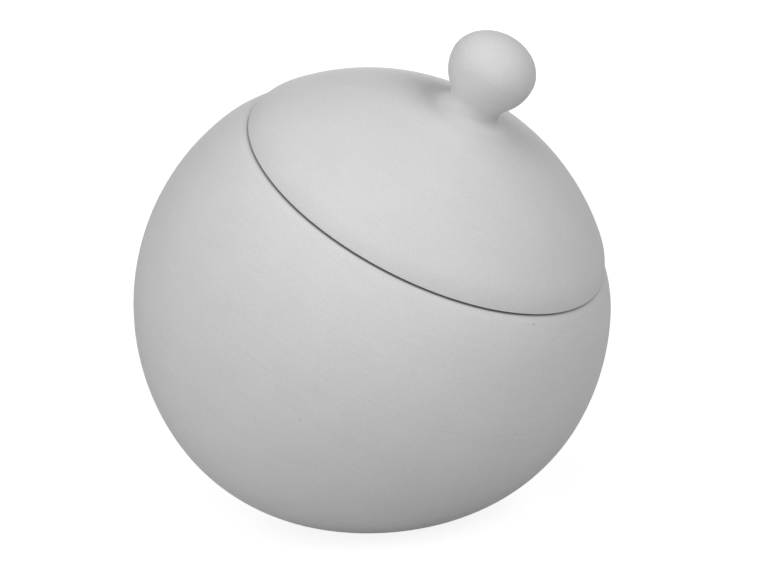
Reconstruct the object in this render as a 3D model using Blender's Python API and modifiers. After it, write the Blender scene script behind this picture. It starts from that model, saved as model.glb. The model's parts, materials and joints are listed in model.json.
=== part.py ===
"""A lidded jar in bisque earthenware: a ball that leans on a pressed base, and a domed lid with a knob.

The mouth's axis leans from upright towards +X. The seat, the lid, its flange and its knob are turned
about that axis, and the lid lifts off along it. The base is flat and level, at z = 0 under the ball.
"""

import math

import bmesh
import bpy
from mathutils import Vector
from mathutils.geometry import interpolate_bezier

# Driving dimensions, in metres and degrees.

# The jar's ball and its wall.
BALL_RADIUS = 0.0750
JAR_WALL = 0.0050
LEAN = 30.5

# The mouth: heights are from the ball's centre, along the mouth's axis. A share is of the mouth's bore.
SEAT_HEIGHT = 0.0416
MOUTH_TRIM = 0.0004
RIM_INNER_SHARE = 0.9
RIM_OUTER_ROUND = 0.0050
SHOULDER_RADIUS = 0.0400
SHOULDER_RUN = 0.0130

# The underside: depths are straight down from the ball's centre.
BASE_DEPTH = 0.0660
PRESSED_DEPTH = 0.0685
FLOOR_DEPTH = 0.0600
PRESS_REACH = 60.0
FOOT_RING_WIDTH = 0.0080
FOOT_RECESS = 0.0010

# The lid: its dome curls in to a thin lip, which is lifted a little clear of the rim.
SEAT_GAP = 0.0003
DOME_RISE = 0.0323
LID_WALL = 0.0045
LIP_SETBACK = 0.0007
LIP_LIFT = 0.0002
LIP_ROUND = 0.0002
CURL_RADIUS = 0.0150
CURL_INSET = 0.00225
LID_INNER_FILLET = 0.0040

# The flange that drops into the mouth. A share is of the flange's wall.
FLANGE_CLEARANCE = 0.0008
FLANGE_WALL = 0.0042
FLANGE_DEPTH = 0.0075
FLANGE_END_SHARE = 0.28

# The knob, cast with the lid: a ball with a flattened crown on a short neck.
KNOB_RADIUS = 0.0136
KNOB_CROWN = 0.0108
NECK_RADIUS = 0.0081
NECK_HEIGHT = 0.0016
NECK_SPREAD = 0.0050
NECK_FILLET = 0.0070
FLARE_PULL = 0.56

# Looks of the plain model, and how finely round forms are divided.
BISQUE_COLOUR = (0.68, 0.68, 0.67, 1.0)
BISQUE_ROUGHNESS = 0.9
TURN_STEPS = 60
ARC_TOLERANCE = 0.0001
LEAST_ARC_STEPS = 3
FLARE_STEPS = 6
SMOOTH_UNDER = 32.0
MERGE_DISTANCE = 0.00001
CUTTER_REACH = 2.0
HALVINGS = 60
FOOT_BAND = 7.0

# Sizes that follow from the driving ones.
QUARTER = math.pi / 2
LEAN_ANGLE = math.radians(LEAN)
BALL_CENTRE = Vector((0.0, 0.0, BASE_DEPTH))
HOLLOW_RADIUS = BALL_RADIUS - JAR_WALL
MOUTH_RADIUS = math.sqrt(HOLLOW_RADIUS**2 - SEAT_HEIGHT**2) + MOUTH_TRIM

SHOULDER_START = math.acos(SEAT_HEIGHT / BALL_RADIUS) + SHOULDER_RUN / BALL_RADIUS
SHOULDER_ACROSS = (BALL_RADIUS - SHOULDER_RADIUS) * math.sin(SHOULDER_START)
SHOULDER_UP = (BALL_RADIUS - SHOULDER_RADIUS) * math.cos(SHOULDER_START)
RIM_RADIUS = SHOULDER_ACROSS + math.sqrt(SHOULDER_RADIUS**2 - (SEAT_HEIGHT - SHOULDER_UP) ** 2)
ROUND_UP = SEAT_HEIGHT - RIM_OUTER_ROUND
ROUND_REACH = SHOULDER_RADIUS - RIM_OUTER_ROUND
SEAT_EDGE = SHOULDER_ACROSS + math.sqrt(ROUND_REACH**2 - (ROUND_UP - SHOULDER_UP) ** 2)

LID_UNDERSIDE = SEAT_HEIGHT + SEAT_GAP
LIP_UP = LID_UNDERSIDE + LIP_LIFT
LIP_RADIUS = RIM_RADIUS - LIP_SETBACK
DOME_EDGE = LIP_RADIUS + CURL_INSET
DOME_RADIUS = (DOME_EDGE**2 + DOME_RISE**2) / (2 * DOME_RISE)
DOME_CENTRE = SEAT_HEIGHT + DOME_RISE - DOME_RADIUS
LID_HOLLOW = DOME_RADIUS - LID_WALL
FLANGE_RADIUS = MOUTH_RADIUS - FLANGE_CLEARANCE
FLANGE_BORE = FLANGE_RADIUS - FLANGE_WALL

WAIST = SEAT_HEIGHT + DOME_RISE + NECK_HEIGHT
FILLET_ACROSS = NECK_RADIUS + NECK_FILLET
KNOB_CENTRE = WAIST + math.sqrt((KNOB_RADIUS + NECK_FILLET) ** 2 - FILLET_ACROSS**2)


def arc(across, up, radius, start, end):
    """Points on an arc about (across, up). Angles run from the axis, 0 up and a quarter turn outwards."""
    widest_step = 2 * math.acos(1 - min(ARC_TOLERANCE / radius, 1.0))
    steps = max(LEAST_ARC_STEPS, math.ceil(abs(end - start) / widest_step))
    angles = [start + (end - start) * i / steps for i in range(steps + 1)]
    return [(across + radius * math.sin(a), up + radius * math.cos(a)) for a in angles]


def crown(radius, height):
    """Points on a knob's flattened top, from the axis out to its widest ring."""
    steps = len(arc(0.0, 0.0, radius, 0.0, QUARTER)) - 1
    angles = [QUARTER * i / steps for i in range(steps + 1)]
    return [(radius * math.sin(a), KNOB_CENTRE + height * math.cos(a)) for a in angles]


def direction(across, up):
    """The angle from the axis of the line to (across, up)."""
    return math.atan2(across, up)


def flare(dome_start):
    """Points down the neck's foot, from its waist to where it runs out over the dome."""
    waist = Vector((NECK_RADIUS, WAIST))
    foot = Vector((DOME_RADIUS * math.sin(dome_start), DOME_CENTRE + DOME_RADIUS * math.cos(dome_start)))
    corner = Vector((NECK_RADIUS, foot.y + NECK_SPREAD * math.tan(dome_start)))
    pulls = [end.lerp(corner, FLARE_PULL) for end in (waist, foot)]
    return [tuple(spot) for spot in interpolate_bezier(waist, *pulls, foot, FLARE_STEPS + 1)]


def jar_profile():
    """The jar's wall about the mouth's axis: up the inside, over the rim and down the outside."""
    hollow_top = math.asin(MOUTH_RADIUS / HOLLOW_RADIUS)
    bore_length = SEAT_HEIGHT - HOLLOW_RADIUS * math.cos(hollow_top)
    inner_round = RIM_INNER_SHARE * bore_length
    inner_across = MOUTH_RADIUS + inner_round
    shoulder_end = direction(SEAT_EDGE - SHOULDER_ACROSS, ROUND_UP - SHOULDER_UP)

    points = arc(0.0, 0.0, HOLLOW_RADIUS, math.pi, hollow_top)
    points += arc(inner_across, SEAT_HEIGHT - inner_round, inner_round, -QUARTER, 0.0)
    points += arc(SEAT_EDGE, ROUND_UP, RIM_OUTER_ROUND, 0.0, shoulder_end)
    points += arc(SHOULDER_ACROSS, SHOULDER_UP, SHOULDER_RADIUS, shoulder_end, SHOULDER_START)
    points += arc(0.0, 0.0, BALL_RADIUS, SHOULDER_START, math.pi)
    return points


def lid_outside():
    """The lid's outer face: down the knob, its neck and the dome, and round the lip."""
    knob_end = direction(FILLET_ACROSS, WAIST - KNOB_CENTRE)
    dome_start = math.asin((NECK_RADIUS + NECK_SPREAD) / DOME_RADIUS)

    # The curl is tangent to the dome inside it and passes through the lip.
    lip_reach = math.hypot(LIP_RADIUS, LIP_UP - DOME_CENTRE)
    curl_reach = DOME_RADIUS - CURL_RADIUS
    along = (lip_reach**2 + curl_reach**2 - CURL_RADIUS**2) / (2 * lip_reach)
    dome_end = direction(LIP_RADIUS, LIP_UP - DOME_CENTRE) - math.acos(along / curl_reach)
    curl_across = curl_reach * math.sin(dome_end)
    curl_up = DOME_CENTRE + curl_reach * math.cos(dome_end)

    round_up = LIP_UP + LIP_ROUND
    round_across = curl_across + math.sqrt((CURL_RADIUS - LIP_ROUND) ** 2 - (round_up - curl_up) ** 2)
    curl_end = direction(round_across - curl_across, round_up - curl_up)

    points = crown(KNOB_RADIUS, KNOB_CROWN)
    points += arc(0.0, KNOB_CENTRE, KNOB_RADIUS, QUARTER, knob_end)
    points += arc(FILLET_ACROSS, WAIST, NECK_FILLET, knob_end - math.pi, -QUARTER)
    points += flare(dome_start)
    points += arc(0.0, DOME_CENTRE, DOME_RADIUS, dome_start, dome_end)
    points += arc(curl_across, curl_up, CURL_RADIUS, dome_end, curl_end)
    points += arc(round_across, round_up, LIP_ROUND, curl_end, math.pi)
    return points


def lid_inside():
    """The lid's inner face: up from the flange, under the dome and into the hollow knob."""
    fillet_across = FLANGE_BORE - LID_INNER_FILLET
    fillet_above = math.sqrt((LID_HOLLOW - LID_INNER_FILLET) ** 2 - fillet_across**2)
    hollow_end = direction(fillet_across, fillet_above)

    # The bend into the knob is tangent to the dome's inside and to the neck's bore at the waist.
    bore = NECK_RADIUS - LID_WALL
    bend = (bore**2 + (WAIST - DOME_CENTRE) ** 2 - LID_HOLLOW**2) / (2 * (LID_HOLLOW - bore))
    bend_start = direction(bore + bend, WAIST - DOME_CENTRE)
    knob_end = direction(FILLET_ACROSS, WAIST - KNOB_CENTRE)
    knob_hollow = KNOB_RADIUS - LID_WALL

    points = arc(fillet_across, DOME_CENTRE + fillet_above, LID_INNER_FILLET, QUARTER, hollow_end)
    points += arc(0.0, DOME_CENTRE, LID_HOLLOW, hollow_end, bend_start)
    points += arc(bore + bend, WAIST, bend, bend_start - math.pi, -QUARTER)
    points += arc(FILLET_ACROSS, WAIST, NECK_FILLET + LID_WALL, -QUARTER, knob_end - math.pi)
    points += arc(0.0, KNOB_CENTRE, knob_hollow, knob_end, QUARTER)
    points += reversed(crown(knob_hollow, KNOB_CROWN - LID_WALL))
    return points


def lid_profile():
    """The lid's wall about the mouth's axis: down the outside, round the flange and up the inside."""
    end_round = FLANGE_END_SHARE * FLANGE_WALL
    end_up = LID_UNDERSIDE - FLANGE_DEPTH + end_round
    points = lid_outside()
    points += [(SEAT_EDGE, LID_UNDERSIDE), (FLANGE_RADIUS, LID_UNDERSIDE)]
    points += arc(FLANGE_RADIUS - end_round, end_up, end_round, QUARTER, math.pi)
    points += arc(FLANGE_BORE + end_round, end_up, end_round, math.pi, 3 * QUARTER)
    points += lid_inside()
    return points


def collection(name):
    """A new collection in the scene."""
    made = bpy.data.collections.new(name)
    bpy.context.scene.collection.children.link(made)
    return made


def bisque(name):
    """Unglazed fired clay, pale and fully matt."""
    material = bpy.data.materials.new(name)
    material.use_nodes = True
    shader = material.node_tree.nodes["Principled BSDF"]
    shader.inputs["Base Color"].default_value = BISQUE_COLOUR
    shader.inputs["Roughness"].default_value = BISQUE_ROUGHNESS
    shader.inputs["Metallic"].default_value = 0.0
    return material


def turned(name, points, home):
    """An object whose profile is turned about its own Z axis by a Screw modifier."""
    form = bmesh.new()
    on_axis = [(0.0 if abs(x) < MERGE_DISTANCE else x, z) for x, z in points]
    corners = [form.verts.new((x, 0.0, z)) for x, z in on_axis]
    for upper, lower in zip(corners, corners[1:]):
        form.edges.new((upper, lower))
    bmesh.ops.remove_doubles(form, verts=form.verts, dist=MERGE_DISTANCE)
    mesh = bpy.data.meshes.new(name)
    form.to_mesh(mesh)
    form.free()
    piece = bpy.data.objects.new(name, mesh)
    home.objects.link(piece)
    screw = piece.modifiers.new("turn", "SCREW")
    screw.steps = TURN_STEPS
    screw.render_steps = TURN_STEPS
    screw.use_merge_vertices = True
    screw.merge_threshold = MERGE_DISTANCE
    screw.use_smooth_shade = True
    return piece


def applied(piece):
    """The piece with its modifiers made into its mesh, and its place made into its points."""
    bpy.context.view_layer.update()
    graph = bpy.context.evaluated_depsgraph_get()
    mesh = bpy.data.meshes.new_from_object(piece.evaluated_get(graph))
    mesh.transform(piece.matrix_world)
    mesh.name = piece.name
    piece.modifiers.clear()
    piece.parent = None
    piece.matrix_world.identity()
    piece.data = mesh
    return piece


def pressed_radius(ball, depth, from_down):
    """How far a ball's wall is from its centre once its underside is pressed in to this depth.

    An arc runs from the ball's wall, PRESS_REACH round from straight down, to a flat disc at the depth.
    """
    reach = math.radians(PRESS_REACH)
    if from_down >= reach:
        return ball
    radius = (depth - ball * math.cos(reach)) / (1 - math.cos(reach))
    across = (ball - radius) * math.sin(reach)
    down = (ball - radius) * math.cos(reach)
    if math.tan(from_down) * depth <= across:
        return depth / math.cos(from_down)
    along = across * math.sin(from_down) + down * math.cos(from_down)
    return along + math.sqrt(along**2 - across**2 - down**2 + radius**2)


def outside(ray):
    """Whether a point of the wall, given from the ball's centre, is on its outer face."""
    return ray.length > (BALL_RADIUS + HOLLOW_RADIUS) / 2


def press_underside(piece):
    """Presses the ball's underside and its floor in towards its centre, each to its own depth."""
    down = Vector((0.0, 0.0, -1.0))
    for vertex in piece.data.vertices:
        ray = vertex.co - BALL_CENTRE
        from_down = ray.angle(down)
        if from_down >= math.radians(PRESS_REACH):
            continue
        wall = (BALL_RADIUS, PRESSED_DEPTH) if outside(ray) else (HOLLOW_RADIUS, FLOOR_DEPTH)
        vertex.co = BALL_CENTRE + ray.normalized() * pressed_radius(*wall, from_down)


def foot_radius():
    """The outer radius of the flat foot, where the base cuts the pressed underside."""
    low, high = 0.0, math.radians(PRESS_REACH)
    for _ in range(HALVINGS):
        middle = (low + high) / 2
        depth = pressed_radius(BALL_RADIUS, PRESSED_DEPTH, middle) * math.cos(middle)
        low, high = (middle, high) if depth > BASE_DEPTH else (low, middle)
    return BASE_DEPTH * math.tan(low)


def refine_foot(piece):
    """Divides the outer underside round the foot's edge, so that the base cuts it to a clean round."""
    edge = math.atan2(foot_radius(), BASE_DEPTH)
    band = math.radians(FOOT_BAND)
    down = Vector((0.0, 0.0, -1.0))
    form = bmesh.new()
    form.from_mesh(piece.data)
    near = set()
    for corner in form.verts:
        ray = corner.co - BALL_CENTRE
        if outside(ray) and abs(ray.angle(down) - edge) < band:
            near.add(corner)
    edges = [side for side in form.edges if near.issuperset(side.verts)]
    bmesh.ops.subdivide_edges(form, edges=edges, cuts=1, use_grid_fill=True)
    form.to_mesh(piece.data)
    form.free()


def cutter(name, radius, bottom, top, home):
    """An upright cylinder that cuts, drawn as a wire and left out of renders."""
    form = bmesh.new()
    bmesh.ops.create_cone(
        form, cap_ends=True, segments=TURN_STEPS, radius1=radius, radius2=radius, depth=top - bottom
    )
    mesh = bpy.data.meshes.new(name)
    form.to_mesh(mesh)
    form.free()
    piece = bpy.data.objects.new(name, mesh)
    piece.location.z = (bottom + top) / 2
    piece.hide_render = True
    piece.display_type = "WIRE"
    home.objects.link(piece)
    return piece


def cut(piece, tool):
    """Takes the tool's volume out of the piece."""
    boolean = piece.modifiers.new(tool.name, "BOOLEAN")
    boolean.operation = "DIFFERENCE"
    boolean.solver = "EXACT"
    boolean.object = tool


def shade(piece):
    """Smooth over round forms, sharp at the edges of flat ones."""
    piece.data.shade_smooth()
    piece.data.set_sharp_from_angle(angle=math.radians(SMOOTH_UNDER))


def mouth_axis(home):
    """An empty at the ball's centre whose Z is the axis that the lid lifts along."""
    axis = bpy.data.objects.new("mouth_axis", None)
    axis.location = BALL_CENTRE
    axis.rotation_euler = (0.0, LEAN_ANGLE, 0.0)
    home.objects.link(axis)
    return axis


def build_jar(axis, home, tools):
    """The jar: a turned shell about the leaning axis, pressed underneath, with a level foot ring."""
    jar = turned("jar_body", jar_profile(), home)
    jar.parent = axis
    refine_foot(applied(jar))
    press_underside(jar)
    shade(jar)
    below = -BALL_RADIUS
    cut(jar, cutter("base_plane", CUTTER_REACH * BALL_RADIUS, below, 0.0, tools))
    recess_radius = foot_radius() - FOOT_RING_WIDTH
    cut(jar, cutter("foot_recess", recess_radius, below, FOOT_RECESS, tools))
    jar.data.materials.append(bisque("jar_bisque"))
    return jar


def build_lid(axis, home):
    """The lid, one casting: knob, neck, dome, rounded edge and the flange that keeps it in the mouth."""
    lid = turned("lid", lid_profile(), home)
    lid.parent = axis
    lid.data.materials.append(bisque("lid_bisque"))
    return lid


def main():
    """Clears the scene and builds the jar and its lid."""
    for leftover in list(bpy.data.objects):
        bpy.data.objects.remove(leftover, do_unlink=True)
    home = collection("lidded_jar")
    tools = collection("cutters")
    axis = mouth_axis(home)
    build_jar(axis, home, tools)
    build_lid(axis, home)


main()
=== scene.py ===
"""Looks of a ball-shaped lidded jar in bisque earthenware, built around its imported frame."""

import json
import logging
import math
from collections.abc import Sequence
from dataclasses import dataclass
from enum import Enum

import bmesh
import bpy
from mathutils import Euler, Matrix, Vector
from mathutils.geometry import interpolate_bezier


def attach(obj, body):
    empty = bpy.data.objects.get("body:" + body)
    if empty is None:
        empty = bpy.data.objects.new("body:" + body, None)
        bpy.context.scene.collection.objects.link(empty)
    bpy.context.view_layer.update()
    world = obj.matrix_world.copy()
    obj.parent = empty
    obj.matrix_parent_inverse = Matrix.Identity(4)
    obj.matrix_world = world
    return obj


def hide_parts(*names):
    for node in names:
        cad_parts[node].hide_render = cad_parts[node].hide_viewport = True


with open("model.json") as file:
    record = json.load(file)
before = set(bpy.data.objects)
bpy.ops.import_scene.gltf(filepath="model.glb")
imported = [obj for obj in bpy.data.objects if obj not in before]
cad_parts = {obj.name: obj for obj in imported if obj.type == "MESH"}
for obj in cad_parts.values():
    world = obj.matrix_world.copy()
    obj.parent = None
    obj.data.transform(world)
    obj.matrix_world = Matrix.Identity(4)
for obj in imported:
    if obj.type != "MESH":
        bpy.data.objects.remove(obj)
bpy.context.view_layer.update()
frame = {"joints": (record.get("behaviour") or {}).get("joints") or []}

LOG = logging.getLogger("lidded_jar")
# Paleness laid on points: wear on handled edges, and a painted highlight on the knob's flare.
RUB_AND_HIGHLIGHT_ATTRIBUTE = "rubbed_and_highlight"
QUARTER = math.pi / 2
MM = 0.001
# The ball that the jar is cast as, and its centre's height above the table.
BALL_RADIUS = 0.0750
BALL_HEIGHT = 0.0660
# How far a mark on the clay is followed into the wall, so that a straight mark reaches a curved face.
MARK_DEPTH = 0.004
# Where a mark begins to fade and where it has gone, as shares of the way from its middle to its edge.
MARK_FADE = (0.2, 1.0)
# What a Map Range node gives where a pattern falls from full to nothing.
FALLING = {"To Min": 1.0, "To Max": 0.0}
# A Mix node's sockets for a colour, by number because those for other values share their names.
MIX_SHARE, MIX_FIRST, MIX_SECOND, MIX_RESULT = 0, 6, 7, 2

# A point of a profile: how far out from the axis, how far along it, and how much paler it is laid, as
# wear on edges and as a painted highlight on the knob's flare.
Row = tuple[float, float, float]


class Body(Enum):
    """The rigid bodies of the frame."""

    JAR = "jar"
    LID = "lid"


class Wall(Enum):
    """The two faces of the jar's shell."""

    OUTSIDE = "outside"
    INSIDE = "inside"


def linear(code: str) -> tuple[float, float, float, float]:
    """Turns an sRGB hex colour to linear, by the curve of the sRGB standard.

    Args:
        code: Six hex digits after a hash sign.

    Returns:
        Linear red, green, blue and an alpha of 1.
    """
    channels = [int(code[i : i + 2], 16) / 255 for i in (1, 3, 5)]
    straight = [c / 12.92 if c <= 0.04045 else ((c + 0.055) / 1.055) ** 2.4 for c in channels]
    return (straight[0], straight[1], straight[2], 1.0)


def per_metre(size_mm: float) -> float:
    """The texture scale that makes one cell of a pattern this many millimetres wide."""
    return 1 / (size_mm * MM)


def smooth_step(low: float, high: float, value: float) -> float:
    """Rises smoothly from 0 at low to 1 at high."""
    share = min(max((value - low) / (high - low), 0.0), 1.0)
    return share * share * (3 - 2 * share)


def soft_floor(value: float, blend: float) -> float:
    """Takes the greater of a value and zero, with a round where the two meet.

    Args:
        value: The value.
        blend: How far the round reaches to each side of zero.

    Returns:
        The rounded value.
    """
    if value >= blend:
        return value
    if value <= -blend:
        return 0.0
    return (value + blend) ** 2 / (4 * blend)


def toward(azimuth: float, elevation: float) -> Vector:
    """Finds a direction from the ball's centre.

    Args:
        azimuth: Radians round from the -Y side, to the right.
        elevation: Radians above level.

    Returns:
        The direction, with a length of 1.
    """
    level = math.cos(elevation)
    return Vector((math.sin(azimuth) * level, -math.cos(azimuth) * level, math.sin(elevation)))


def add_node(
    tree: bpy.types.NodeTree,
    kind: str,
    settings: dict[str | int, object] | None = None,
    links: dict[str | int, bpy.types.NodeSocket] | None = None,
) -> bpy.types.Node:
    """Adds a node to a tree.

    Args:
        tree: The tree that takes the node.
        kind: The node's type name.
        settings: Values for the node's own properties or, where it has none so named, its inputs.
        links: Sockets to join to the node's inputs.

    Returns:
        The new node.
    """
    node = tree.nodes.new(kind)
    for key, value in (settings or {}).items():
        if isinstance(key, str) and hasattr(node, key):
            setattr(node, key, value)
        else:
            node.inputs[key].default_value = value
    for key, socket in (links or {}).items():
        tree.links.new(socket, node.inputs[key])
    return node


def weighed(
    tree: bpy.types.NodeTree,
    parts: Sequence[tuple[bpy.types.NodeSocket, float]],
    start: float = 0.0,
) -> bpy.types.NodeSocket:
    """Adds up patterns by weight.

    Args:
        tree: The material's tree.
        parts: Pairs of a pattern and its weight.
        start: The value where every pattern is zero.

    Returns:
        The sum's socket.
    """
    total = None
    for socket, weight in parts:
        settings = {"operation": "MULTIPLY_ADD", 1: weight, 2: start}
        links = {0: socket} if total is None else {0: socket, 2: total}
        total = add_node(tree, "ShaderNodeMath", settings, links).outputs["Value"]
    return total


def seen_directly(tree: bpy.types.NodeTree) -> bpy.types.NodeSocket:
    """Tells what the camera sees, also in a mirror or through glass, from light that only bounces.

    Args:
        tree: The tree of the floor's material or of the world.

    Returns:
        A socket that is 1 for what is seen and 0 for bounced light.
    """
    path = add_node(tree, "ShaderNodeLightPath")
    seen = path.outputs["Is Camera Ray"]
    for other in ("Is Glossy Ray", "Is Transmission Ray"):
        links = {0: seen, 1: path.outputs[other]}
        seen = add_node(tree, "ShaderNodeMath", {"operation": "MAXIMUM"}, links).outputs["Value"]
    return seen


@dataclass(frozen=True)
class MouthAxis:
    """The leaning axis that the rim, the lid and its knob are turned about.

    Args:
        centre: The ball's centre, which the axis goes through.
        direction: The way that the lid lifts.
    """

    centre: Vector
    direction: Vector

    @property
    def lean(self) -> float:
        """The angle from upright, in radians."""
        return math.atan2(self.direction.x, self.direction.z)

    def to_frame(self) -> Matrix:
        """The matrix from turned coordinates, with Z along the axis, to the part's frame."""
        return Matrix.Translation(self.centre) @ Matrix.Rotation(self.lean, 4, "Y")


@dataclass
class Turning:
    """Turns profiles about the mouth's axis.

    Args:
        axis: The axis they are turned about.
        segments: Facets round the axis.
        spacing: Distance between points along the profile.
        least_steps: The fewest steps in an arc, however short it is.
    """

    axis: MouthAxis
    segments: int = 192
    spacing: float = 0.0013
    least_steps: int = 8

    def arc(
        self, across: float, up: float, radius: float, start: float, end: float, rub: float = 0.0
    ) -> list[Row]:
        """Makes the rows of an arc.

        Args:
            across: The arc's centre, out from the axis.
            up: The arc's centre, along the axis.
            radius: The arc's radius.
            start: First angle, from straight up the axis towards the outside.
            end: Last angle.
            rub: How much an edge at the middle of this arc is worn paler, from 0 to 1.

        Returns:
            The arc's rows.
        """
        steps = max(self.least_steps, math.ceil(abs(end - start) * radius / self.spacing))
        rows = []
        for i in range(steps + 1):
            share = i / steps
            angle = start + (end - start) * share
            worn = rub * math.sin(math.pi * share)
            rows.append((across + radius * math.sin(angle), up + radius * math.cos(angle), worn))
        return rows

    def crown(self, radius: float, height: float, up: float) -> list[Row]:
        """Makes the rows of a flattened top, from the axis out to the widest ring.

        Args:
            radius: The widest ring's radius.
            height: How far the top is above that ring.
            up: The ring's place along the axis.

        Returns:
            The crown's rows.
        """
        steps = max(self.least_steps, math.ceil(QUARTER * radius / self.spacing))
        angles = [QUARTER * i / steps for i in range(steps + 1)]
        return [(radius * math.sin(a), up + height * math.cos(a), 0.0) for a in angles]

    def straight(self, start: tuple[float, float], end: tuple[float, float]) -> list[Row]:
        """Makes the rows of a straight stretch, without its first point.

        Args:
            start: The first point, out from the axis and along it.
            end: The last point.

        Returns:
            The stretch's rows.
        """
        steps = max(1, math.ceil(math.dist(start, end) / self.spacing))
        (across, up), (end_across, end_up) = start, end
        return [
            (across + (end_across - across) * i / steps, up + (end_up - up) * i / steps, 0.0)
            for i in range(1, steps + 1)
        ]

    def turn(self, name: str, rows: list[Row]) -> bpy.types.Object:
        """Turns the rows into a closed mesh in the part's frame.

        Args:
            name: The piece's name.
            rows: A profile that starts and ends on the axis.

        Returns:
            The piece, linked to the scene, with an attribute on its points for wear and painted highlight.
        """
        tiny = 1e-6
        kept = [rows[0]]
        for row in rows[1:]:
            if math.dist(row[:2], kept[-1][:2]) > tiny:
                kept.append(row)
        form = bmesh.new()
        rub_layer = form.verts.layers.float.new(RUB_AND_HIGHLIGHT_ATTRIBUTE)
        to_frame = self.axis.to_frame()
        rings = []
        for across, up, rub in kept:
            count = 1 if across < tiny else self.segments
            ring = []
            for i in range(count):
                angle = math.tau * i / self.segments
                spot = Vector((across * math.cos(angle), across * math.sin(angle), up))
                corner = form.verts.new(to_frame @ spot)
                corner[rub_layer] = rub
                ring.append(corner)
            rings.append(ring)
        for upper, lower in zip(rings, rings[1:]):
            for i in range(self.segments):
                j = (i + 1) % self.segments
                corners = [upper[i % len(upper)], lower[i % len(lower)], lower[j % len(lower)]]
                corners.append(upper[j % len(upper)])
                # On the axis two of the corners are one point, which counts once.
                form.faces.new(dict.fromkeys(corners)).smooth = True
        mesh = bpy.data.meshes.new(name)
        form.to_mesh(mesh)
        form.free()
        piece = bpy.data.objects.new(name, mesh)
        bpy.context.scene.collection.objects.link(piece)
        return piece


@dataclass(frozen=True)
class Mark:
    """A faint stroke or patch that a sponge or a touch left on the clay, or a pit in it.

    Args:
        around: Degrees round the ball from the +X side, seen from above.
        up: Degrees above the ball's middle.
        length_mm: How long it is.
        slope: Degrees that it climbs to the right, seen from outside.
        width_mm: How wide it is.
        tone: How far it moves the clay's tone, below zero where it is darker. On a pit it is the share
            of the pinhole's colour.
    """

    around: float
    up: float
    length_mm: float
    slope: float
    width_mm: float
    tone: float

    def place(self, centre: Vector) -> dict[str | int, object]:
        """Works out the stretched ball that holds the mark.

        Args:
            centre: The middle of the ball that the mark lies on.

        Returns:
            Settings of a Mapping node that turns that stretched ball into a unit ball.
        """
        facing = Euler((0.0, -math.radians(self.up), math.radians(self.around))).to_matrix()
        tilted = Euler((math.radians(self.slope), 0.0, 0.0)).to_matrix()
        half = (MARK_DEPTH, self.length_mm / 2 * MM, self.width_mm / 2 * MM)
        settings = {"Location": centre + facing.col[0] * BALL_RADIUS, "Scale": half}
        return {"vector_type": "TEXTURE", "Rotation": (facing @ tilted).to_euler(), **settings}


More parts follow.
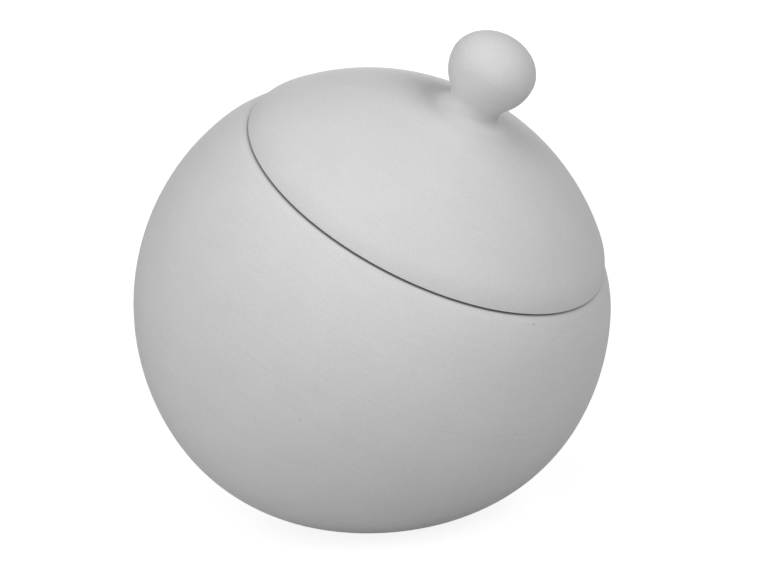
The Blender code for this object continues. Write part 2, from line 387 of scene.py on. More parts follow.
@dataclass(frozen=True)
class Bisque:
    """Bisque earthenware: slip-cast, sponged smooth while damp, fired once and left unglazed.

    It is fully matt and slightly chalky to the eye. Fine grit shows as a close grain, the sponge leaves
    long faint strokes round the mouth's axis, trapped air leaves a few dark pinholes, edges that are
    handled rub paler, the knob's flare carries a painted highlight, and painted grey shade darkens the
    joint between the lid and the rim.
    """

    name: str
    axis: MouthAxis
    # The joint's middle, out from the mouth's axis and along it.
    joint: tuple[float, float]
    # The bare clay lies between the first two colours, and the others are laid over it.
    pale: str = "#DFDFDF"
    shade: str = "#D3D3D3"
    # Paler on worn edges, and a painted highlight on the knob's flare.
    rubbed_and_highlight: str = "#E4E4E4"
    # Painted shade in the joint between the lid and the rim, where the gap's shadow falls.
    joint_painted_shade: str = "#949494"
    pinhole: str = "#6C6C6C"
    # How rough it is in the grit's hollows and on its grains.
    roughness: tuple[float, float] = (0.82, 0.95)
    ior: float = 1.5
    # Real grit is about 0.1 mm, too fine to show: it is drawn as coarse as one dot of the picture.
    grit_mm: float = 0.42
    # How long and how wide the sponge's strokes are.
    stroke_mm: tuple[float, float] = (28.0, 0.8)
    blotch_mm: float = 15.0
    # How far each pattern moves the clay's tone, and the tone that they move about.
    grit_weight: float = 2.30
    stroke_weight: float = 0.60
    blotch_weight: float = 0.55
    middle_tone: float = 0.475
    # Each cell of this spacing may hold a pinhole, and this share do, some fainter. Its core is full.
    pinhole_spacing_mm: float = 7.5
    pinhole_share: float = 0.20
    pinhole_radius_mm: float = 0.24
    pinhole_core: float = 0.5
    grit_depth_mm: float = 0.012
    stroke_depth_mm: float = 0.016
    pinhole_depth_mm: float = 0.12
    # How far from the joint's middle the painted shade begins to thin, and where it ends.
    joint_shade_reach_mm: tuple[float, float] = (0.3, 1.2)
    # How far the patterns are moved, in metres, so that the pieces don't share one grain.
    shift: float = 0.0
    marks: tuple[Mark, ...] = ()
    pits: tuple[Mark, ...] = ()

    def material(self) -> bpy.types.Material:
        """Builds the material.

        Returns:
            A node material that reads the piece's own coordinates and its attribute for wear and painted
            highlight.
        """
        made = bpy.data.materials.new(self.name)
        made.use_nodes = True
        tree = made.node_tree
        shader = tree.nodes["Principled BSDF"]
        shader.inputs["IOR"].default_value = self.ior
        shader.inputs["Metallic"].default_value = 0.0

        place = add_node(tree, "ShaderNodeTexCoord").outputs["Object"]
        from_mouth = self.about_mouth(tree, place)
        moved = {"Location": (self.shift, 0.0, 0.0)}
        spot = add_node(tree, "ShaderNodeMapping", moved, {"Vector": from_mouth}).outputs["Vector"]
        strokes, blotches, grit = self.grain(tree, spot)
        hollows = [(self.pinhole_mask(tree, spot), 1.0)]
        hollows += [(self.mark_mask(tree, place, pit), pit.tone) for pit in self.pits]
        holes = weighed(tree, hollows)

        patterns = [
            (strokes, self.stroke_weight),
            (blotches, self.blotch_weight),
            (grit, self.grit_weight),
        ]
        lowest = self.middle_tone - sum(weight for _, weight in patterns) / 2
        patterns += [(self.mark_mask(tree, place, mark), mark.tone) for mark in self.marks]
        tone = weighed(tree, patterns, lowest)
        clay = {"data_type": "RGBA", MIX_FIRST: linear(self.shade), MIX_SECOND: linear(self.pale)}
        colour = add_node(tree, "ShaderNodeMix", clay, {MIX_SHARE: tone}).outputs[MIX_RESULT]
        # The rub attribute pales worn edges and paints a highlight on the knob's flare; the joint's mask
        # paints shade between the lid and the rim.
        rub = add_node(tree, "ShaderNodeAttribute", {"attribute_name": RUB_AND_HIGHLIGHT_ATTRIBUTE}).outputs["Fac"]
        joint_painted_shade = self.joint_shade_mask(tree, from_mouth)
        for code, mask in ((self.rubbed_and_highlight, rub), (self.joint_painted_shade, joint_painted_shade), (self.pinhole, holes)):
            over = {"data_type": "RGBA", MIX_SECOND: linear(code)}
            links = {MIX_SHARE: mask, MIX_FIRST: colour}
            colour = add_node(tree, "ShaderNodeMix", over, links).outputs[MIX_RESULT]
        tree.links.new(colour, shader.inputs["Base Color"])

        smooth, rough = self.roughness
        matt = add_node(
            tree, "ShaderNodeMapRange", {"To Min": smooth, "To Max": rough}, {"Value": grit}
        )
        tree.links.new(matt.outputs["Result"], shader.inputs["Roughness"])

        depths = [
            (strokes, self.stroke_depth_mm * MM),
            (grit, self.grit_depth_mm * MM),
            (holes, -self.pinhole_depth_mm * MM),
        ]
        full = {"Strength": 1.0, "Distance": 1.0}
        relief = add_node(tree, "ShaderNodeBump", full, {"Height": weighed(tree, depths)})
        tree.links.new(relief.outputs["Normal"], shader.inputs["Normal"])
        return made

    def about_mouth(
        self, tree: bpy.types.NodeTree, place: bpy.types.NodeSocket
    ) -> bpy.types.NodeSocket:
        """Turns the piece's coordinates to ones about the mouth's axis.

        Args:
            tree: The material's tree.
            place: The piece's own coordinates, in metres.

        Returns:
            A socket of coordinates from the ball's centre, with Z along the axis.
        """
        turn = Euler((0.0, -self.axis.lean, 0.0))
        settings = {"Location": -(turn.to_matrix() @ self.axis.centre), "Rotation": turn}
        return add_node(tree, "ShaderNodeMapping", settings, {"Vector": place}).outputs["Vector"]

    def grain(
        self, tree: bpy.types.NodeTree, spot: bpy.types.NodeSocket
    ) -> list[bpy.types.NodeSocket]:
        """Draws the patterns that cover all of the clay.

        Args:
            tree: The material's tree.
            spot: The coordinates about the mouth's axis, in metres.

        Returns:
            The sockets of the sponge's strokes, the blotches and the grit.
        """
        along, wide = (per_metre(size) for size in self.stroke_mm)
        stretch = {"Scale": (along, along, wide)}
        stretched = add_node(tree, "ShaderNodeMapping", stretch, {"Vector": spot}).outputs["Vector"]
        streaky = {"Scale": 1.0, "Detail": 4.0, "Roughness": 0.6, "Distortion": 0.35}
        broad = {"Scale": per_metre(self.blotch_mm), "Detail": 2.0}
        fine = {"Scale": per_metre(self.grit_mm), "Detail": 2.0, "Roughness": 0.7}
        return [
            add_node(tree, "ShaderNodeTexNoise", settings, {"Vector": vector}).outputs["Fac"]
            for settings, vector in ((streaky, stretched), (broad, spot), (fine, spot))
        ]

    def joint_shade_mask(
        self, tree: bpy.types.NodeTree, from_mouth: bpy.types.NodeSocket
    ) -> bpy.types.NodeSocket:
        """Draws painted shade in the joint between the lid and the rim, where the gap's shadow falls.

        Args:
            tree: The material's tree.
            from_mouth: The coordinates about the mouth's axis, in metres.

        Returns:
            A socket that is 1 in the joint and 0 away from it.
        """
        flatten = {"operation": "MULTIPLY", 1: (1.0, 1.0, 0.0)}
        flat = add_node(tree, "ShaderNodeVectorMath", flatten, {0: from_mouth}).outputs["Vector"]
        across = add_node(tree, "ShaderNodeVectorMath", {"operation": "LENGTH"}, {0: flat})
        up = add_node(tree, "ShaderNodeSeparateXYZ", None, {0: from_mouth})
        links = {"X": across.outputs["Value"], "Y": up.outputs["Z"]}
        spot = add_node(tree, "ShaderNodeCombineXYZ", None, links).outputs["Vector"]
        from_joint = {"operation": "DISTANCE", 1: (*self.joint, 0.0)}
        away = add_node(tree, "ShaderNodeVectorMath", from_joint, {0: spot}).outputs["Value"]
        near, far = (reach * MM for reach in self.joint_shade_reach_mm)
        fade = {"From Min": near, "From Max": far, **FALLING}
        return add_node(tree, "ShaderNodeMapRange", fade, {"Value": away}).outputs["Result"]

    def mark_mask(
        self, tree: bpy.types.NodeTree, place: bpy.types.NodeSocket, mark: Mark
    ) -> bpy.types.NodeSocket:
        """Draws one mark.

        Args:
            tree: The material's tree.
            place: The piece's own coordinates, in metres.
            mark: The mark.

        Returns:
            A socket that is 1 in the mark's middle and fades to 0 at its edge.
        """
        settings = mark.place(self.axis.centre)
        inside = add_node(tree, "ShaderNodeMapping", settings, {"Vector": place}).outputs["Vector"]
        away = add_node(tree, "ShaderNodeVectorMath", {"operation": "LENGTH"}, {0: inside})
        fade = {"From Min": MARK_FADE[0], "From Max": MARK_FADE[1], **FALLING}
        links = {"Value": away.outputs["Value"]}
        return add_node(tree, "ShaderNodeMapRange", fade, links).outputs["Result"]

    def pinhole_mask(
        self, tree: bpy.types.NodeTree, spot: bpy.types.NodeSocket
    ) -> bpy.types.NodeSocket:
        """Draws the pinholes.

        Args:
            tree: The material's tree.
            spot: The coordinates about the mouth's axis, in metres.

        Returns:
            A socket that is up to 1 in a pinhole and 0 elsewhere.
        """
        spread = {"Scale": per_metre(self.pinhole_spacing_mm)}
        cells = add_node(tree, "ShaderNodeTexVoronoi", spread, {"Vector": spot})
        edge = self.pinhole_radius_mm / self.pinhole_spacing_mm
        fade = {"From Min": self.pinhole_core * edge, "From Max": edge, **FALLING}
        dot = add_node(tree, "ShaderNodeMapRange", fade, {"Value": cells.outputs["Distance"]})
        chance = add_node(tree, "ShaderNodeSeparateColor", None, {"Color": cells.outputs["Color"]})
        few = {"From Min": 0.0, "From Max": self.pinhole_share, **FALLING}
        chosen = add_node(tree, "ShaderNodeMapRange", few, {"Value": chance.outputs["Red"]})
        links = {0: dot.outputs["Result"], 1: chosen.outputs["Result"]}
        return add_node(tree, "ShaderNodeMath", {"operation": "MULTIPLY"}, links).outputs["Value"]


@dataclass(frozen=True)
class PalePaper:
    """Pale paper: a smooth sheet rolled out as a studio's floor, matt and without a pattern to the eye.

    The camera sees it near white with the jar's shadow kept, because a glow that rises to white far off is
    added to the light on it. The light that it bounces comes from a plain grey.
    """

    name: str = "pale_paper"
    lit_colour: str = "#969696"
    bounce_colour: str = "#BFBFBF"
    # The glow, in the middle and far off, and the distances between which it rises.
    glow: tuple[float, float] = (0.86, 1.0)
    glow_reach: tuple[float, float] = (0.5, 1.5)

    def material(self) -> bpy.types.Material:
        """Builds the material.

        Returns:
            A node material that reads the floor's own coordinates.
        """
        made = bpy.data.materials.new(self.name)
        made.use_nodes = True
        tree = made.node_tree
        tree.nodes.clear()
        bounce = add_node(tree, "ShaderNodeBsdfDiffuse", {"Color": linear(self.bounce_colour)})
        lit = add_node(tree, "ShaderNodeBsdfDiffuse", {"Color": linear(self.lit_colour)})
        place = add_node(tree, "ShaderNodeTexCoord").outputs["Object"]
        away = add_node(tree, "ShaderNodeVectorMath", {"operation": "LENGTH"}, {0: place})
        near, far = self.glow_reach
        low, high = self.glow
        rise = {"From Min": near, "From Max": far, "To Min": low, "To Max": high}
        rising = add_node(tree, "ShaderNodeMapRange", rise, {"Value": away.outputs["Value"]})
        glow = add_node(tree, "ShaderNodeEmission", None, {"Strength": rising.outputs["Result"]})
        shown = add_node(tree, "ShaderNodeAddShader", None, {0: lit.outputs[0], 1: glow.outputs[0]})
        links = {0: seen_directly(tree), 1: bounce.outputs[0], 2: shown.outputs[0]}
        mixed = add_node(tree, "ShaderNodeMixShader", None, links)
        add_node(tree, "ShaderNodeOutputMaterial", None, {"Surface": mixed.outputs[0]})
        return made


@dataclass
class JarBody:
    """The hollow ball: its wall, its rim and shoulder, and the underside that it stands on."""

    axis: MouthAxis
    ball_radius: float = BALL_RADIUS
    wall: float = 0.0050
    # The mouth: the seat's height along the axis from the ball's centre, how much wider than the hollow
    # the bore is trimmed, and the rim's rounded edges.
    seat_height: float = 0.0416
    mouth_trim: float = 0.0004
    rim_inner_round: float = 0.0006
    rim_outer_round: float = 0.0050
    rim_rub: float = 0.5
    # Where the painted shade in the joint lies, from the flat seat's end at 0 to the rim's outside at 1.
    joint_share: float = 0.32
    # The shoulder that eases the ball in to the rim: its radius, and how far down the ball it begins.
    shoulder_radius: float = 0.0400
    shoulder_run: float = 0.0130
    # The pressed underside: depths below the ball's centre, and how far round from straight down.
    pressed_depth: float = 0.0685
    floor_depth: float = 0.0600
    press_reach: float = math.radians(60.0)
    # The foot ring's soft edge, and the shallow recess inside it.
    foot_blend: float = 0.0006
    foot_recess: float = 0.0010
    recess_radius: float = 0.0205
    recess_edge: float = 0.0012
    marks: tuple[Mark, ...] = (
        Mark(-50.0, -15.5, 16.5, -20.0, 0.7, -0.45),
        Mark(-33.0, -20.5, 27.0, -15.0, 0.6, -0.45),
        Mark(-79.0, -3.0, 14.0, -30.0, 7.0, -0.25),
        Mark(-101.5, 15.0, 5.0, -25.0, 5.0, -0.25),
        Mark(-90.5, 14.5, 3.5, -15.0, 4.0, -0.25),
        Mark(-95.0, 5.5, 26.5, -25.0, 0.6, 0.30),
        Mark(-92.5, 3.0, 15.0, -30.0, 0.7, -0.25),
        Mark(-16.5, 0.0, 26.0, 5.0, 0.7, 0.30),
        Mark(-10.5, -2.5, 18.0, 5.0, 0.7, -0.25),
        Mark(-123.5, 21.0, 7.0, -25.0, 1.6, 0.35),
        Mark(-121.0, -2.5, 10.5, -35.0, 2.4, 0.25),
    )
    pits: tuple[Mark, ...] = (
        Mark(-25.5, 5.5, 1.5, 5.0, 0.6, 0.48),
        Mark(-84.0, -10.0, 0.6, 0.0, 0.6, 0.70),
        Mark(-74.0, -8.5, 0.5, 0.0, 0.5, 0.36),
        Mark(-67.5, -5.5, 0.5, 0.0, 0.5, 0.36),
        Mark(-47.5, 6.0, 0.5, 0.0, 0.5, 0.36),
    )

    @property
    def hollow_radius(self) -> float:
        """The radius of the ball's inside."""
        return self.ball_radius - self.wall

    @property
    def mouth_radius(self) -> float:
        """The radius of the bore at the mouth."""
        return math.sqrt(self.hollow_radius**2 - self.seat_height**2) + self.mouth_trim

    @property
    def shoulder_start(self) -> float:
        """The angle from the axis where the ball's wall begins to ease in to the rim."""
        return math.acos(self.seat_height / self.ball_radius) + self.shoulder_run / self.ball_radius

    @property
    def shoulder_centre(self) -> tuple[float, float]:
        """The shoulder arc's centre, out from the axis and along it."""
        inset = self.ball_radius - self.shoulder_radius
        return inset * math.sin(self.shoulder_start), inset * math.cos(self.shoulder_start)

    @property
    def rim_radius(self) -> float:
        """The radius of the eased shoulder at the height of the seat."""
        across, up = self.shoulder_centre
        return across + math.sqrt(self.shoulder_radius**2 - (self.seat_height - up) ** 2)

    @property
    def seat_edge(self) -> float:
        """The radius where the flat seat ends and the rim's outer round begins.

        Returns:
            The radius of the ring where that round is level.
        """
        across, up = self.shoulder_centre
        reach = self.shoulder_radius - self.rim_outer_round
        return across + math.sqrt(reach**2 - (self.seat_height - self.rim_outer_round - up) ** 2)

    @property
    def joint(self) -> tuple[float, float]:
        """The middle of the joint with the lid, out from the axis and along it."""
        across = self.seat_edge + self.joint_share * (self.rim_radius - self.seat_edge)
        return across, self.seat_height

    def rows(self, turning: Turning) -> list[Row]:
        """Draws the profile: up the inside, over the rim and down the outside.

        Args:
            turning: The turning that makes the arcs.

        Returns:
            The profile's rows.
        """
        seat, inner = self.seat_height, self.rim_inner_round
        hollow_top = math.asin(self.mouth_radius / self.hollow_radius)
        start = self.shoulder_start
        shoulder_across, shoulder_up = self.shoulder_centre
        round_across, round_up = self.seat_edge, seat - self.rim_outer_round
        end = math.atan2(round_across - shoulder_across, round_up - shoulder_up)
        rim_across = self.mouth_radius + inner

        rows = turning.arc(0.0, 0.0, self.hollow_radius, math.pi, hollow_top)
        rows += turning.arc(rim_across, seat - inner, inner, -QUARTER, 0.0, self.rim_rub)
        rows += turning.straight((rim_across, seat), (round_across, seat))
        rows += turning.arc(round_across, round_up, self.rim_outer_round, 0.0, end)
        rows += turning.arc(shoulder_across, shoulder_up, self.shoulder_radius, end, start)
        rows += turning.arc(0.0, 0.0, self.ball_radius, start, math.pi)
        return rows

    def pressed_radius(self, wall: Wall, from_down: float) -> float:
        """Finds how far the shell is from the ball's centre once its underside is pressed in.

        An arc runs from the ball's wall, press_reach round from straight down, to a flat disc.

        Args:
            wall: Which face of the shell.
            from_down: The angle from straight down.

        Returns:
            The distance from the centre.
        """
        outside = wall is Wall.OUTSIDE
        ball = self.ball_radius if outside else self.hollow_radius
        depth = self.pressed_depth if outside else self.floor_depth
        radius = (depth - ball * math.cos(self.press_reach)) / (1 - math.cos(self.press_reach))
        across = (ball - radius) * math.sin(self.press_reach)
        down = (ball - radius) * math.cos(self.press_reach)
        if math.tan(from_down) * depth <= across:
            return depth / math.cos(from_down)
        along = across * math.sin(from_down) + down * math.cos(from_down)
        return along + math.sqrt(along**2 - across**2 - down**2 + radius**2)

    def stand(self, spot: Vector) -> float:
        """Levels the underside to a flat foot ring round a shallow recess.

        Args:
            spot: A point of the pressed underside.

        Returns:
            The point's height on the finished foot.
        """
        height = soft_floor(spot.z, self.foot_blend)
        across = math.hypot(spot.x, spot.y)
        edge = self.recess_edge
        inside = 1 - smooth_step(self.recess_radius - edge, self.recess_radius + edge, across)
        return height + self.foot_recess * inside

    def press(self, piece: bpy.types.Object) -> None:
        """Presses the underside and the floor of the turned shell, and levels its foot.

        Args:
            piece: The turned shell, whose points are moved.
        """
        down = Vector((0.0, 0.0, -1.0))
        middle = (self.ball_radius + self.hollow_radius) / 2
        for vertex in piece.data.vertices:
            ray = vertex.co - self.axis.centre
            from_down = ray.angle(down)
            if from_down >= self.press_reach:
                continue
            wall = Wall.OUTSIDE if ray.length > middle else Wall.INSIDE
            spot = self.axis.centre + ray.normalized() * self.pressed_radius(wall, from_down)
            if wall is Wall.OUTSIDE:
                spot.z = self.stand(spot)
            vertex.co = spot

    def build(self) -> bpy.types.Object:
        """Builds and dresses the jar.

        Returns:
            The jar, riding on its body in place of the plain solid.
        """
        turning = Turning(self.axis)
        piece = turning.turn("jar_shell", self.rows(turning))
        self.press(piece)
        clay = Bisque(
            "bisque_earthenware_jar", self.axis, self.joint, marks=self.marks, pits=self.pits
        )
        piece.data.materials.append(clay.material())
        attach(piece, Body.JAR.value)
        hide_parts("jar_body")
        return piece


@dataclass
class Lid:
    """The lid: knob, neck, dome, rounded edge and the flange that keeps it in the mouth."""

    axis: MouthAxis
    jar: JarBody
    # The gap that is kept between the lid and the seat that it rests on.
    seat_gap: float = 0.0003
    # The edge: how far in from the rim it is, how far the dome curls in to it, and its lip off the seat.
    setback: float = 0.0007
    edge_curl: float = 0.00225
    edge_shoulder: float = 0.0150
    edge_lift: float = 0.0002
    edge_round: float = 0.0002
    edge_rub: float = 0.7
    # The dome: its rise above the seat, its wall, and the fillet inside where it meets the flange.
    dome_rise: float = 0.0323
    wall: float = 0.0045
    inner_fillet: float = 0.0040
    # The flange: its clearance in the mouth, its wall and depth, and the round on its end.
    flange_clearance: float = 0.0008
    flange_wall: float = 0.0042
    flange_depth: float = 0.0075
    flange_end_round: float = 0.0012
    flange_rub: float = 0.5
    # The knob: its radius, and how far its flattened top is above its widest ring.
    knob_radius: float = 0.0136
    knob_crown: float = 0.0108
    # The neck: its waist, its height above the dome, and the foot that flares out over the dome.
    neck_radius: float = 0.0081
    neck_height: float = 0.0016
    neck_fillet: float = 0.0070
    neck_spread: float = 0.0050
    flare_pull: float = 0.56
    flare_steps: int = 17
    # A painted highlight along the flare, where light falls on it.
    flare_highlight: float = 0.75
    # Looks that differ from the jar's: the painted shade under the lip is darker and its line narrower.
    lip_painted_shade: str = "#585858"
    lip_shade_reach_mm: tuple[float, float] = (0.4, 0.8)
    stroke_weight: float = 0.30
    grain_shift: float = 0.47
    marks: tuple[Mark, ...] = (
        Mark(-78.5, 80.0, 8.5, -30.0, 1.2, 0.60),
        Mark(-5.0, 24.0, 13.0, 65.0, 1.8, 0.45),
        Mark(-33.5, 27.5, 17.5, -50.0, 0.8, 0.35),
        Mark(-31.5, 28.5, 7.5, -50.0, 0.8, 0.35),
        Mark(-3.5, 44.0, 19.0, -65.0, 1.0, -0.25),
    )

    @property
    def underside(self) -> float:
        """The height of the face that rests on the jar's seat."""
        return self.jar.seat_height + self.seat_gap

    @property
    def lip_height(self) -> float:
        """The height of the lip, which stands a little off the seat."""
        return self.underside + self.edge_lift

    @property
    def edge_radius(self) -> float:
        """The radius of the lid's lower edge."""
        return self.jar.rim_radius - self.setback

    @property
    def dome_radius(self) -> float:
        """The radius of the dome's outside."""
        edge = self.edge_radius + self.edge_curl
        return (edge**2 + self.dome_rise**2) / (2 * self.dome_rise)

    @property
    def dome_top(self) -> float:
        """The height of the dome's top, where the neck stands."""
        return self.jar.seat_height + self.dome_rise

    @property
    def dome_centre(self) -> float:
        """The height of the dome's centre."""
        return self.dome_top - self.dome_radius

    @property
    def waist(self) -> float:
        """The height where the neck is narrowest."""
        return self.dome_top + self.neck_height

    @property
    def neck_across(self) -> float:
        """How far out the centre of the neck's fillet is."""
        return self.neck_radius + self.neck_fillet

    @property
    def knob_centre(self) -> float:
        """The height of the knob's widest ring."""
        reach = self.knob_radius + self.neck_fillet
        return self.waist + math.sqrt(reach**2 - self.neck_across**2)

    @property
    def knob_end(self) -> float:
        """The angle from straight up where the knob meets the neck's fillet."""
        return math.atan2(self.neck_across, self.waist - self.knob_centre)

    @property
    def flange_radius(self) -> float:
        """The radius of the flange's outside."""
        return self.jar.mouth_radius - self.flange_clearance

    @property
    def flange_bore(self) -> float:
        """The radius of the flange's inside."""
        return self.flange_radius - self.flange_wall

    def flare(self, dome_start: float) -> list[Row]:
        """Draws the neck's foot, from its waist to where it runs out over the dome.

        Args:
            dome_start: The angle from the axis where the flare meets the dome.

        Returns:
            The flare's rows.
        """
        radius = self.dome_radius
        waist = Vector((self.neck_radius, self.waist))
        foot = Vector((radius * math.sin(dome_start), self.dome_centre + radius * math.cos(dome_start)))
        corner = Vector((self.neck_radius, foot.y + self.neck_spread * math.tan(dome_start)))
        pulls = [end.lerp(corner, self.flare_pull) for end in (waist, foot)]
        spots = interpolate_bezier(waist, *pulls, foot, self.flare_steps)
        shares = [i / (self.flare_steps - 1) for i in range(self.flare_steps)]
        # A painted highlight along the flare, brightest in its middle.
        flare_highlights = [self.flare_highlight * math.sin(math.pi * share) for share in shares]
        return [(spot.x, spot.y, rub) for spot, rub in zip(spots, flare_highlights)]

    def edge_curve(self) -> tuple[float, float, float]:
        """Finds the arc that curls the dome in to the lid's lower edge.

        It touches the dome from inside and goes through the edge, at the height of the lip.

        Returns:
            The arc's centre, out from the axis and along it, and the angle where it leaves the dome.
        """
        edge_above = self.lip_height - self.dome_centre
        reach = math.hypot(self.edge_radius, edge_above)
        inner = self.dome_radius - self.edge_shoulder
        along = (reach**2 + inner**2 - self.edge_shoulder**2) / (2 * reach)
        leaves = math.atan2(self.edge_radius, edge_above) - math.acos(along / inner)
        return inner * math.sin(leaves), self.dome_centre + inner * math.cos(leaves), leaves

    def outer_rows(self, turning: Turning) -> list[Row]:
        """Draws the outside: down the knob, its neck and the dome, and round the lip.

        Args:
            turning: The turning that makes the arcs.

        Returns:
            The rows, from the knob's top to the lip's underside.
        """
        top, end = self.knob_centre, self.knob_end
        dome_start = math.asin((self.neck_radius + self.neck_spread) / self.dome_radius)
        curl_across, curl_up, dome_end = self.edge_curve()
        edge_up = self.lip_height + self.edge_round
        edge_reach = self.edge_shoulder - self.edge_round
        edge_across = curl_across + math.sqrt(edge_reach**2 - (edge_up - curl_up) ** 2)
        curl_end = math.atan2(edge_across - curl_across, edge_up - curl_up)

        rows = turning.crown(self.knob_radius, self.knob_crown, top)
        rows += turning.arc(0.0, top, self.knob_radius, QUARTER, end)
        rows += turning.arc(self.neck_across, self.waist, self.neck_fillet, end - math.pi, -QUARTER)
        rows += self.flare(dome_start)
        rows += turning.arc(0.0, self.dome_centre, self.dome_radius, dome_start, dome_end)
        rows += turning.arc(curl_across, curl_up, self.edge_shoulder, dome_end, curl_end)
        rows += turning.arc(edge_across, edge_up, self.edge_round, curl_end, math.pi, self.edge_rub)
        return rows

    def flange_rows(self, turning: Turning, start: tuple[float, float]) -> list[Row]:
        """Draws the flange: in over the seat, down its outside and round its end.

        Args:
            turning: The turning that makes the arcs.
            start: The point under the lip where the outside ends.

        Returns:
            The rows, from under the lip to the foot of the flange's bore.
        """
        outside, bore, end = self.flange_radius, self.flange_bore, self.flange_end_round
        under = self.underside
        end_up = under - self.flange_depth + end
        corners = [start, (self.jar.seat_edge, under), (outside, under), (outside, end_up)]

        rows = []
        for first, last in zip(corners, corners[1:]):
            rows += turning.straight(first, last)
        rows += turning.arc(outside - end, end_up, end, QUARTER, math.pi, self.flange_rub)
        rows += turning.arc(bore + end, end_up, end, math.pi, 3 * QUARTER, self.flange_rub)
        return rows

    def inner_rows(self, turning: Turning, start: tuple[float, float]) -> list[Row]:
        """Draws the inside: up the flange's bore, under the dome and into the hollow knob.

        Args:
            turning: The turning that makes the arcs.
            start: The foot of the flange's bore.

        Returns:
            The rows, from the bore's foot to the top of the knob's hollow.
        """
        top, end = self.knob_centre, self.knob_end
        hollow = self.dome_radius - self.wall
        fillet_across = self.flange_bore - self.inner_fillet
        fillet_above = math.sqrt((hollow - self.inner_fillet) ** 2 - fillet_across**2)
        fillet_up = self.dome_centre + fillet_above
        hollow_end = math.atan2(fillet_across, fillet_above)
        # The bend leads from under the dome up into the neck's bore.
        neck_bore = self.neck_radius - self.wall
        waist_above = self.waist - self.dome_centre
        bend = (neck_bore**2 + waist_above**2 - hollow**2) / (2 * (hollow - neck_bore))
        bend_start = math.atan2(neck_bore + bend, waist_above)
        neck_round = self.neck_fillet + self.wall
        knob_hollow = self.knob_radius - self.wall

        rows = turning.straight(start, (self.flange_bore, fillet_up))
        rows += turning.arc(fillet_across, fillet_up, self.inner_fillet, QUARTER, hollow_end)
        rows += turning.arc(0.0, self.dome_centre, hollow, hollow_end, bend_start)
        rows += turning.arc(neck_bore + bend, self.waist, bend, bend_start - math.pi, -QUARTER)
        rows += turning.arc(self.neck_across, self.waist, neck_round, -QUARTER, end - math.pi)
        rows += turning.arc(0.0, top, knob_hollow, end, QUARTER)
        rows += reversed(turning.crown(knob_hollow, self.knob_crown - self.wall, top))
        return rows

    def rows(self, turning: Turning) -> list[Row]:
        """Draws the profile: down the outside, round the flange and up the inside.

        Args:
            turning: The turning that makes the arcs.

        Returns:
            The profile's rows.
        """
        rows = self.outer_rows(turning)
        rows += self.flange_rows(turning, rows[-1][:2])
        rows += self.inner_rows(turning, rows[-1][:2])
        return rows

    def build(self) -> bpy.types.Object:
        """Builds and dresses the lid.

        Returns:
            The lid, riding on its body in place of the plain solid.
        """
        turning = Turning(self.axis)
        piece = turning.turn("domed_lid", self.rows(turning))
        clay = Bisque(
            "bisque_earthenware_lid",
            self.axis,
            self.jar.joint,
            joint_painted_shade=self.lip_painted_shade,
            joint_shade_reach_mm=self.lip_shade_reach_mm,
            stroke_weight=self.stroke_weight,
            shift=self.grain_shift,
            marks=self.marks,
        )
        piece.data.materials.append(clay.material())
        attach(piece, Body.LID.value)
        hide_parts("lid")
        return piece


@dataclass(frozen=True)
class SoftBox:
    """A square area lamp that faces the jar.

    Args:
        name: The lamp's name.
        azimuth: Degrees round from the camera, to the right.
        elevation: Degrees above level, from the ball's centre.
        power: Watts.
        side: The lamp's side, in metres.
        distance: From the ball's centre, in metres.
    """

    name: str
    azimuth: float
    elevation: float
    power: float
    side: float = 0.9
    distance: float = 1.4


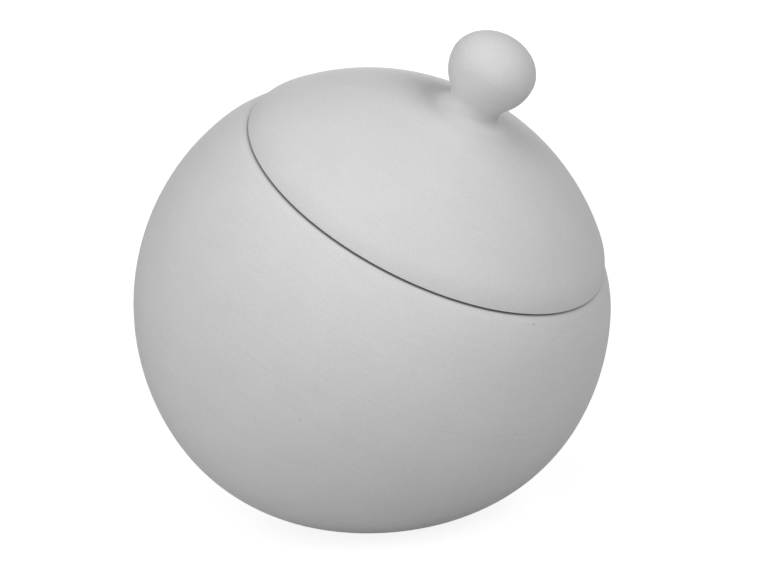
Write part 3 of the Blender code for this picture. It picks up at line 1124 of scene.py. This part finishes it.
@dataclass
class Studio:
    """The pale floor, the soft light and the camera at the photograph's viewing angle."""

    axis: MouthAxis
    # The camera's angles, and its distance from the ball's centre.
    azimuth: float = math.radians(24.45)
    elevation: float = math.radians(16.35)
    roll: float = math.radians(-3.9)
    distance: float = 1.0
    # How far the camera stands to the right of the ball's centre and above it, in the picture's plane.
    aim_right: float = 0.00245
    aim_up: float = 0.00699
    # The picture's width and the lens's focal length, both in pixels.
    picture_width: int = 760
    focal_pixels: float = 3174.4
    sensor_mm: float = 36.0
    floor_side: float = 8.0
    paper: PalePaper = PalePaper()
    backdrop_colour: str = "#FFFFFF"
    # The lamp at the back is low and near, so that it lights the jar's back and little of the lid's top.
    lamps: tuple[SoftBox, ...] = (
        SoftBox("front_left", -30.0, 10.0, 6.6),
        SoftBox("high_left", -45.0, 45.0, 7.3),
        SoftBox("right", 60.0, 35.0, 8.6),
        SoftBox("top", 0.0, 88.0, 3.8),
        SoftBox("back", 180.0, 2.0, 6.0, side=0.4, distance=1.0),
    )

    def camera(self) -> bpy.types.Object:
        """Sets the camera up.

        Returns:
            The camera, which becomes the scene's.
        """
        back = toward(self.azimuth, self.elevation)
        flat_right = Vector((math.cos(self.azimuth), math.sin(self.azimuth), 0.0))
        flat_up = back.cross(flat_right)
        right = flat_right * math.cos(self.roll) + flat_up * math.sin(self.roll)
        up = flat_up * math.cos(self.roll) - flat_right * math.sin(self.roll)
        data = bpy.data.cameras.new("camera")
        data.sensor_width = self.sensor_mm
        data.lens = self.sensor_mm * self.focal_pixels / self.picture_width
        piece = bpy.data.objects.new("camera", data)
        spot = self.axis.centre + back * self.distance + right * self.aim_right + up * self.aim_up
        turn = Matrix((right, up, back)).transposed().to_4x4()
        piece.matrix_world = Matrix.Translation(spot) @ turn
        bpy.context.scene.collection.objects.link(piece)
        bpy.context.scene.camera = piece
        return piece

    def floor(self) -> bpy.types.Object:
        """Lays the floor.

        Returns:
            The floor.
        """
        form = bmesh.new()
        bmesh.ops.create_grid(form, x_segments=1, y_segments=1, size=self.floor_side / 2)
        mesh = bpy.data.meshes.new("floor")
        form.to_mesh(mesh)
        form.free()
        piece = bpy.data.objects.new("floor", mesh)
        bpy.context.scene.collection.objects.link(piece)
        piece.data.materials.append(self.paper.material())
        return piece

    def sky(self) -> None:
        """Sets a backdrop that is white where it is seen and gives no other light."""
        world = bpy.data.worlds.new("studio")
        world.use_nodes = True
        tree = world.node_tree
        tree.nodes.clear()
        white = {"Color": linear(self.backdrop_colour)}
        backdrop = add_node(tree, "ShaderNodeBackground", white, {"Strength": seen_directly(tree)})
        add_node(tree, "ShaderNodeOutputWorld", None, {"Surface": backdrop.outputs[0]})
        bpy.context.scene.world = world

    def hang(self, box: SoftBox) -> bpy.types.Object:
        """Hangs one lamp.

        Args:
            box: The lamp's place and power.

        Returns:
            The lamp, turned to the ball's centre.
        """
        data = bpy.data.lights.new(box.name, "AREA")
        data.shape = "SQUARE"
        data.size = box.side
        data.energy = box.power
        ray = toward(self.azimuth + math.radians(box.azimuth), math.radians(box.elevation))
        piece = bpy.data.objects.new(box.name, data)
        piece.location = self.axis.centre + ray * box.distance
        piece.rotation_euler = ray.to_track_quat("Z", "Y").to_euler()
        bpy.context.scene.collection.objects.link(piece)
        return piece

    def build(self) -> None:
        """Builds the whole studio."""
        self.camera()
        self.floor()
        self.sky()
        for box in self.lamps:
            self.hang(box)


def clear_startup() -> None:
    """Removes the startup scene's own cube, lamp and camera."""
    for name in ("Cube", "Light", "Camera"):
        leftover = bpy.data.objects.get(name)
        if leftover is not None:
            bpy.data.objects.remove(leftover, do_unlink=True)


def main() -> None:
    """Builds the jar, its lid and the studio, and reports each piece."""
    logging.basicConfig(level=logging.INFO, format="%(name)s: %(message)s")
    clear_startup()
    bpy.context.scene.view_settings.view_transform = "Standard"
    lift = next(joint for joint in frame["joints"] if joint["child"] == Body.LID.value)
    axis = MouthAxis(Vector((0.0, 0.0, BALL_HEIGHT)), Vector(lift["axis"]))
    jar = JarBody(axis)
    for piece in (jar.build(), Lid(axis, jar).build()):
        LOG.info("%s: %d faces", piece.name, len(piece.data.polygons))
    Studio(axis).build()


if __name__ == "__main__":
    main()
